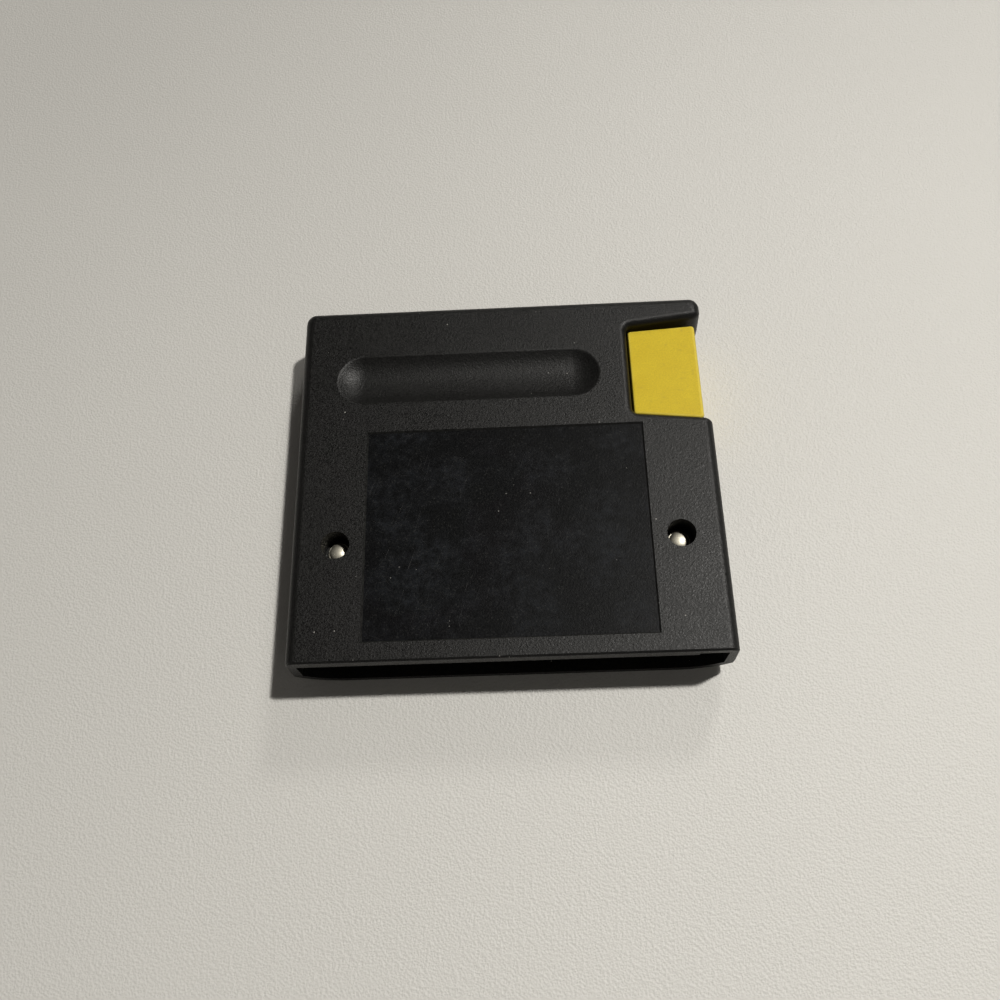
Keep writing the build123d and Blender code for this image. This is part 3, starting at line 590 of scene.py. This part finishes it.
def turned_mesh(name, profile, segments, lobes=0):
    """Solid turned about Z from rows of radius, height and flute, which pulls a row in between the lobes."""
    work = bmesh.new()
    rows = []
    for radius, height, flute in profile:
        row = []
        for i in range(segments if radius > 0 else 1):
            angle = 2 * math.pi * i / segments
            r = radius * (1 - flute * (0.5 - 0.5 * math.cos(lobes * angle)) ** 2)
            row.append(work.verts.new((r * math.cos(angle), r * math.sin(angle), height)))
        rows.append(row)
    for low, high in zip(rows, rows[1:]):
        for i in range(segments):
            j = (i + 1) % segments
            corners = [low[i % len(low)], low[j % len(low)], high[j % len(high)], high[i % len(high)]]
            corners = list(dict.fromkeys(corners))
            if len(corners) > 2:
                work.faces.new(corners)
    bmesh.ops.recalc_face_normals(work, faces=work.faces)
    mesh = bpy.data.meshes.new(name)
    work.to_mesh(mesh)
    work.free()
    return mesh


def dipped_bead(width, depth, height):
    """Plump bead of this size round the origin, as a dip leaves it."""
    rows = 10
    profile = []
    for i in range(rows + 1):
        lean = math.pi * (i / rows - 0.5)
        radius = max(0.0, math.cos(lean)) ** 0.6
        profile.append((radius, 0.5 * math.copysign(abs(math.sin(lean)) ** 0.8, lean), 0.0))
    profile[0], profile[-1] = (0.0, -0.5, 0.0), (0.0, 0.5, 0.0)
    bead = turned_mesh("dipped_capacitor", profile, segments=24)
    bead.transform(Matrix.Diagonal((width / 2, depth / 2, height, 1.0)))
    return bead


def crimped_can(radius, run):
    """Standing can of this radius and height: bare end, sleeve, crimp and sunk bung, from below."""
    mm = MILLIMETRE
    profile = [
        (0.0, 0.12 * mm, 0.0),
        (0.70 * radius, 0.12 * mm, 0.0),
        (0.70 * radius, 0.0, 0.0),
        (0.88 * radius, 0.0, 0.0),
        (0.97 * radius, 0.12 * mm, 0.0),
        (radius, 0.40 * mm, 0.0),
        (radius, run - 2.2 * mm, 0.0),
        (radius - 0.25 * mm, run - 1.85 * mm, 0.0),
        (radius - 0.35 * mm, run - 1.6 * mm, 0.0),
        (radius - 0.25 * mm, run - 1.35 * mm, 0.0),
        (radius, run - 1.0 * mm, 0.0),
        (radius, run - 0.35 * mm, 0.0),
        (0.90 * radius, run, 0.0),
        (0.74 * radius, run, 0.0),
        (0.74 * radius, run - 0.1 * mm, 0.0),
        (0.0, run - 0.1 * mm, 0.0),
    ]
    return turned_mesh("lying_capacitor", profile, segments=32)


def start_tree(name, inputs):
    """New tree of geometry nodes with these inputs, its graph, and the identifiers of the inputs."""
    tree = bpy.data.node_groups.new(name, "GeometryNodeTree")
    names = {}
    for key, kind in inputs.items():
        socket = tree.interface.new_socket(key, in_out="INPUT", socket_type="NodeSocket" + kind)
        names[key] = socket.identifier
    tree.interface.new_socket("Geometry", in_out="OUTPUT", socket_type="NodeSocketGeometry")
    return tree, Graph(tree), names


def end_tree(graph, geometry, material):
    """Gives the mesh its material and hands it out of the tree."""
    finished = graph.add("GeometryNodeSetMaterial", {"Geometry": geometry, "Material": material})
    graph.add("NodeGroupOutput", {"Geometry": finished.outputs["Geometry"]})


def pair_tree():
    """Nodes that set one template on both sides of the middle."""
    inputs = {"Template": "Object", "Half Spacing": "Float", "Material": "Material"}
    tree, graph, names = start_tree("pair_across_the_case", inputs)
    given = graph.add("NodeGroupInput").outputs
    start = graph.add("ShaderNodeCombineXYZ", {"X": graph.math("MULTIPLY", given["Half Spacing"], -1.0)})
    step = graph.add("ShaderNodeCombineXYZ", {"X": graph.math("MULTIPLY", given["Half Spacing"], 2.0)})
    values = {"Count": 2, "Start Location": start.outputs[0], "Offset": step.outputs[0]}
    line = graph.add("GeometryNodeMeshLine", values, mode="OFFSET")
    template = graph.add("GeometryNodeObjectInfo", {"Object": given["Template"]})
    values = {"Points": line.outputs["Mesh"], "Instance": template.outputs["Geometry"]}
    copies = graph.add("GeometryNodeInstanceOnPoints", values)
    solid = graph.add("GeometryNodeRealizeInstances", {"Geometry": copies.outputs["Instances"]})
    end_tree(graph, solid.outputs["Geometry"], given["Material"])
    return tree, names


def solder_tree():
    """Nodes that set a small cone of solder under each point."""
    inputs = {"Points": "Geometry", "Width": "Float", "Height": "Float", "Material": "Material"}
    tree, graph, names = start_tree("solder_joints", inputs)
    given = graph.add("NodeGroupInput").outputs
    values = {
        "Vertices": 10,
        "Side Segments": 2,
        "Radius Top": graph.math("MULTIPLY", given["Width"], 0.5),
        "Radius Bottom": graph.math("MULTIPLY", given["Width"], 0.22),
        "Depth": given["Height"],
    }
    cone = graph.add("GeometryNodeMeshCone", values)
    drop = graph.add("ShaderNodeCombineXYZ", {"Z": graph.math("MULTIPLY", given["Height"], -1.0)})
    values = {"Geometry": cone.outputs["Mesh"], "Translation": drop.outputs[0]}
    hung = graph.add("GeometryNodeTransform", values)
    values = {"Points": given["Points"], "Instance": hung.outputs["Geometry"]}
    copies = graph.add("GeometryNodeInstanceOnPoints", values)
    solid = graph.add("GeometryNodeRealizeInstances", {"Geometry": copies.outputs["Instances"]})
    smooth = graph.add("GeometryNodeSetShadeSmooth", {"Geometry": solid.outputs["Geometry"]})
    end_tree(graph, smooth.outputs["Geometry"], given["Material"])
    return tree, names


def grow(piece, tree, names, **values):
    """Runs a node tree on the piece with its inputs set, and keeps the plain mesh."""
    modifier = piece.modifiers.new(tree.name, "NODES")
    modifier.node_group = tree
    for name, value in values.items():
        modifier[names[name.replace("_", " ")]] = value
    bake(piece)


def set_pair(name, template, half_spacing, material):
    """Piece made of one template on both sides of the middle."""
    model = put(name + "_template", template, material)
    piece = put(name, bpy.data.meshes.new(name), material)
    tree, names = pair_tree()
    grow(piece, tree, names, Template=model, Half_Spacing=half_spacing, Material=material)
    bpy.data.objects.remove(model)
    return piece


class CARTRIDGE_OT_case(bpy.types.Operator):
    """Dress the two case halves in grained plastic, with a smooth panel in the rear one."""

    bl_idname = "cartridge.case"
    bl_label = "Case halves"

    def execute(self, context):
        finish = context.scene.cartridge_case
        grain = grained_plastic(finish)
        panel = smooth_panel(finish)
        mesh = joined_mesh("rear_shell", "rear_case_half")
        rear = put("rear_case_half", mesh, grain, panel, rubbed_and_highlit_edge(finish))
        mark_panel(mesh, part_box("rear_shell")[1][2], finish.panel_depth)
        shade(rear, degrees=30.0)
        carry(rear, "black_plastic", "rear_shell")
        front = put("front_case_half", joined_mesh("front_shell", "front_case_half"), grain)
        shade(front, degrees=30.0)
        carry(front, "black_plastic", "front_shell")
        return {"FINISHED"}


class CARTRIDGE_OT_tab(bpy.types.Operator):
    """Dress the side tab in yellow plastic with a rubbed rim."""

    bl_idname = "cartridge.tab"
    bl_label = "Side tab"

    def execute(self, context):
        finish = context.scene.cartridge_tab
        low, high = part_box("side_tab")
        mesh = joined_mesh("side_tab", "yellow_side_tab")
        wear_rims(mesh, (low[2], high[2]), finish.rim_width)
        tab = put("yellow_side_tab", mesh, tab_plastic(finish))
        shade(tab, degrees=50.0)
        carry(tab, "yellow_plastic", "side_tab")
        return {"FINISHED"}


class CARTRIDGE_OT_screws(bpy.types.Operator):
    """Make the pair of lobed case screws."""

    bl_idname = "cartridge.screws"
    bl_label = "Case screws"

    def execute(self, context):
        sizes = context.scene.cartridge_screws
        low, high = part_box("case_screws")
        top = high[2]
        seat = top - sizes.stud_height - sizes.flange_height
        shank, groove = sizes.shank / 2, sizes.shank / 2 - sizes.thread_depth
        point, crest = 1.2 * MILLIMETRE, 0.45
        profile = [(0.0, low[2], 0.0)]
        run = seat - low[2] - point
        for i in range(sizes.turns):
            height = low[2] + point + run * i / sizes.turns
            profile += [(groove, height, 0.0), (shank, height + crest * run / sizes.turns, 0.0)]
        flange, stud = sizes.flange / 2, sizes.stud / 2
        edge = 0.12 * MILLIMETRE
        profile += [
            (groove, seat, 0.0),
            (flange, seat, 0.0),
            (flange, seat + sizes.flange_height - edge, 0.0),
            (flange - edge, seat + sizes.flange_height, 0.0),
            (stud, seat + sizes.flange_height, sizes.flute),
        ]
        rise = top - sizes.dome
        rows = 6
        for i in range(rows + 1):
            lean = math.radians(90.0 / rows * i)
            radius, height = stud * math.cos(lean), rise + sizes.dome * math.sin(lean)
            profile.append((radius, height, sizes.flute * math.cos(lean) ** 4))
        profile[-1] = (0.0, top, 0.0)
        mesh = turned_mesh("lobed_screw", profile, segments=48, lobes=sizes.lobes)
        mesh.transform(Matrix.Translation(Vector((0.0, (low[1] + high[1]) / 2, 0.0))))
        pair = set_pair("case_screw_pair", mesh, high[0] - flange, plated_steel(sizes))
        shade(pair, degrees=42.0)
        carry(pair, "screw_steel", "case_screws")
        return {"FINISHED"}


class CARTRIDGE_OT_board(bpy.types.Operator):
    """Finish the circuit board and its contacts, and set the solder joints under it."""

    bl_idname = "cartridge.board"
    bl_label = "Circuit board"

    def execute(self, context):
        finish = context.scene.cartridge_board
        bare_margin = 0.4 * MILLIMETRE
        edge_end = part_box("contacts_rear")[1][1] + bare_margin
        dress("circuit_board", board_laminate(finish, edge_end))
        gold = contact_gold(finish)
        dress("contacts_rear", gold)
        dress("contacts_front", gold)
        tin = dull_tin(finish)
        for node in ("chip_pins", "ceramic_leads", "bulk_capacitor_leads"):
            dress(node, tin)
        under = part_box("circuit_board")[0][2]
        spots = []
        low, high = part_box("chip_pins")
        half_pin, half_shoulder = 0.15 * MILLIMETRE, 0.7 * MILLIMETRE
        count = round((high[0] - low[0] - 2 * half_shoulder) / finish.pitch) + 1
        for i in range(count):
            x = low[0] + half_shoulder + i * finish.pitch
            spots += [(x, low[1] + half_pin, under), (x, high[1] - half_pin, under)]
        low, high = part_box("ceramic_leads")
        middle = (low[1] + high[1]) / 2
        for x in (low[0] + HALF_WIRE, high[0] - HALF_WIRE - finish.pitch):
            spots += [(x, middle, under), (x + finish.pitch, middle, under)]
        low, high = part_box("bulk_capacitor_leads")
        for y in (low[1] + HALF_WIRE, high[1] - HALF_WIRE):
            spots.append((high[0] - HALF_WIRE, y, under))
        mesh = bpy.data.meshes.new("solder_joints")
        mesh.from_pydata(spots, [], [])
        solder = put("solder_joints", mesh, tin)
        tree, names = solder_tree()
        grow(solder, tree, names, Width=finish.joint, Height=finish.joint_height, Material=tin)
        carry(solder, "tinned_metal")
        return {"FINISHED"}


class CARTRIDGE_OT_chip(bpy.types.Operator):
    """Finish the memory chip with softened moulded edges."""

    bl_idname = "cartridge.chip"
    bl_label = "Memory chip"

    def execute(self, context):
        finish = context.scene.cartridge_board
        resin = coated("chip_resin", finish.resin, gloss=0.55, size_mm=0.35, depth_mm=0.015)
        chip = put("memory_chip", joined_mesh("chip_package", "memory_chip"), resin)
        soften = chip.modifiers.new("moulded_edges", "BEVEL")
        soften.width = 0.12 * MILLIMETRE
        soften.segments = 2
        soften.limit_method = "ANGLE"
        soften.angle_limit = math.radians(40.0)
        bake(chip)
        shade(chip, degrees=40.0)
        carry(chip, "chip_resin", "chip_package")
        return {"FINISHED"}


class CARTRIDGE_OT_capacitors(bpy.types.Operator):
    """Make the dipped ceramic capacitors and the lying sleeved one."""

    bl_idname = "cartridge.capacitors"
    bl_label = "Capacitors"

    def execute(self, context):
        finish = context.scene.cartridge_board
        low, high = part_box("ceramic_capacitors")
        height, depth = high[2] - low[2], high[1] - low[1]
        middle = (low[1] + high[1]) / 2, (low[2] + high[2]) / 2
        width = 2 * (high[0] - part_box("ceramic_leads")[1][0] + HALF_WIRE + finish.pitch / 2)
        bead = dipped_bead(width, depth, height)
        bead.transform(Matrix.Translation(Vector((0.0, *middle))))
        dip = coated("ceramic_dip", finish.ceramic, gloss=0.24, size_mm=0.9, depth_mm=0.02)
        beads = set_pair("ceramic_capacitor_pair", bead, high[0] - width / 2, dip)
        shade(beads, degrees=60.0)
        carry(beads, "ceramic_dip", "ceramic_capacitors")

        low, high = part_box("bulk_capacitor")
        radius, run = (high[2] - low[2]) / 2, high[0] - low[0]
        mesh = crimped_can(radius, run)
        sleeve = coated("can_sleeve", finish.sleeve, gloss=0.22, size_mm=1.2, depth_mm=0.01)
        bung = coated("can_bung", finish.resin, gloss=0.6, size_mm=0.3, depth_mm=0.02)
        can = put("lying_capacitor", mesh, sleeve, bright_aluminium(finish), bung)
        for face in mesh.polygons:
            sunk = face.center.xy.length < 0.69 * radius and abs(face.normal.z) > 0.9
            if sunk:
                face.material_index = 1 if face.center.z < run / 2 else 2
        turn = Matrix.Rotation(math.radians(90.0), 4, "Y")
        place = Matrix.Translation(Vector((low[0], (low[1] + high[1]) / 2, (low[2] + high[2]) / 2)))
        mesh.transform(place @ turn)
        shade(can, degrees=40.0)
        carry(can, "can_sleeve", "bulk_capacitor")
        return {"FINISHED"}


def hang(name, kind, rgb, heading, place=(0.0, 0.0, 0.0)):
    """New lamp at this place, which shines from the side that the heading points to."""
    lamp = bpy.data.lights.new(name, kind)
    lamp.color = rgb
    held = bpy.data.objects.new(name, lamp)
    held.location = place
    held.rotation_euler = heading.to_track_quat("Z", "Y").to_euler()
    bpy.context.collection.objects.link(held)
    return lamp


def studio(stage):
    """World with pale walls low down, as seen and mirrored, and a dim light from all round."""
    world = bpy.data.worlds.new("studio")
    world.use_nodes = True
    graph = Graph(world.node_tree)
    heading = graph.add("ShaderNodeTexCoord").outputs["Generated"]
    rise = graph.add("ShaderNodeSeparateXYZ", {"Vector": heading}).outputs["Z"]
    path = graph.add("ShaderNodeLightPath").outputs
    seen = graph.math("MAXIMUM", path["Is Camera Ray"], path["Is Glossy Ray"])
    seen = graph.math("MAXIMUM", seen, path["Is Transmission Ray"])
    level = graph.math("MULTIPLY", seen, graph.ramp(rise, 0.0, 0.16, 1.0, 0.0))
    tone = graph.mix(level, opaque(stage.ceiling), opaque(stage.wall))
    graph.join(tone, world.node_tree.nodes["Background"], "Color")
    return world


class CARTRIDGE_OT_stage(bpy.types.Operator):
    """Lay the pale table, hang the lamps and set the camera over the open end."""

    bl_idname = "cartridge.stage"
    bl_label = "Stage"

    def execute(self, context):
        stage = context.scene.cartridge_stage
        mesh = bpy.data.meshes.new("table_top")
        reach, under = TABLE_REACH, cad_box[0][2] - TABLE_GAP
        corners = [(-reach, -reach), (reach, -reach), (reach, reach), (-reach, reach)]
        mesh.from_pydata([(x, y, under) for x, y in corners], [], [(0, 1, 2, 3)])
        put("table_top", mesh, embossed_table(stage))

        suns = (
            ("key_lamp", KEY_HEADING, stage.key, stage.softness),
            ("back_lamp", BACK_HEADING, stage.back, stage.back_softness),
            ("fill_lamp", FILL_HEADING, stage.fill, stage.fill_softness),
        )
        for name, heading, strength, spread in suns:
            lamp = hang(name, "SUN", stage.lamp, Vector(heading).normalized())
            lamp.energy = strength
            lamp.angle = spread
        # The pool comes from the main lamp's side, from far off, so that its shadow falls on the same place
        place = stage.pool_distance * Vector(KEY_HEADING).normalized()
        lamp = hang("pool_lamp", "SPOT", stage.lamp, place - Vector(POOL_MIDDLE), place)
        lamp.energy = stage.pool * 4 * math.pi * stage.pool_distance ** 2
        lamp.shadow_soft_size = stage.pool_distance * math.tan(stage.softness / 2)
        lamp.spot_size = stage.beam
        lamp.spot_blend = 1.0
        context.scene.world = studio(stage)

        camera = bpy.data.objects.new("camera", bpy.data.cameras.new("camera"))
        camera.data.lens = stage.lens
        camera.data.sensor_width = SENSOR_WIDTH
        camera.data.clip_start = 0.01
        right, up = Vector(CAMERA_RIGHT), Vector(CAMERA_UP)
        back = right.cross(up).normalized()
        spot = Vector(CAMERA_PLACE) * MILLIMETRE
        camera.matrix_world = Matrix.Translation(spot) @ Matrix((right, up, back)).transposed().to_4x4()
        context.collection.objects.link(camera)
        context.scene.camera = camera
        context.scene.view_settings.view_transform = "Standard"
        return {"FINISHED"}


class CARTRIDGE_PT_build(bpy.types.Panel):
    """Sizes, colours and steps of the cartridge."""

    bl_label = "Game cartridge"
    bl_idname = "CARTRIDGE_PT_build"
    bl_space_type = "VIEW_3D"
    bl_region_type = "UI"
    bl_category = "Cartridge"

    def draw(self, context):
        for operator in OPERATORS:
            self.layout.operator(operator.bl_idname)
        for key in SETTINGS:
            box = self.layout.box()
            group = getattr(context.scene, key)
            for name in group.bl_rna.properties.keys():
                if name not in ("rna_type", "name"):
                    box.prop(group, name)


OPERATORS = (
    CARTRIDGE_OT_case,
    CARTRIDGE_OT_tab,
    CARTRIDGE_OT_screws,
    CARTRIDGE_OT_board,
    CARTRIDGE_OT_chip,
    CARTRIDGE_OT_capacitors,
    CARTRIDGE_OT_stage,
)
SETTINGS = {
    "cartridge_case": CaseFinish,
    "cartridge_tab": TabFinish,
    "cartridge_screws": ScrewSizes,
    "cartridge_board": BoardFinish,
    "cartridge_stage": StageSettings,
}


def register():
    """Adds the settings, the operators and the panel."""
    for key, group in SETTINGS.items():
        bpy.utils.register_class(group)
        setattr(bpy.types.Scene, key, PointerProperty(type=group))
    for item in (*OPERATORS, CARTRIDGE_PT_build):
        bpy.utils.register_class(item)


def unregister():
    """Removes what register adds, in the other order."""
    for item in (CARTRIDGE_PT_build, *reversed(OPERATORS)):
        bpy.utils.unregister_class(item)
    for key, group in reversed(SETTINGS.items()):
        delattr(bpy.types.Scene, key)
        bpy.utils.unregister_class(group)


def main():
    """Builds the cartridge on its stage."""
    register()
    bpy.ops.cartridge.case()
    bpy.ops.cartridge.tab()
    bpy.ops.cartridge.screws()
    bpy.ops.cartridge.board()
    bpy.ops.cartridge.chip()
    bpy.ops.cartridge.capacitors()
    bpy.ops.cartridge.stage()


if __name__ == "__main__":
    main()
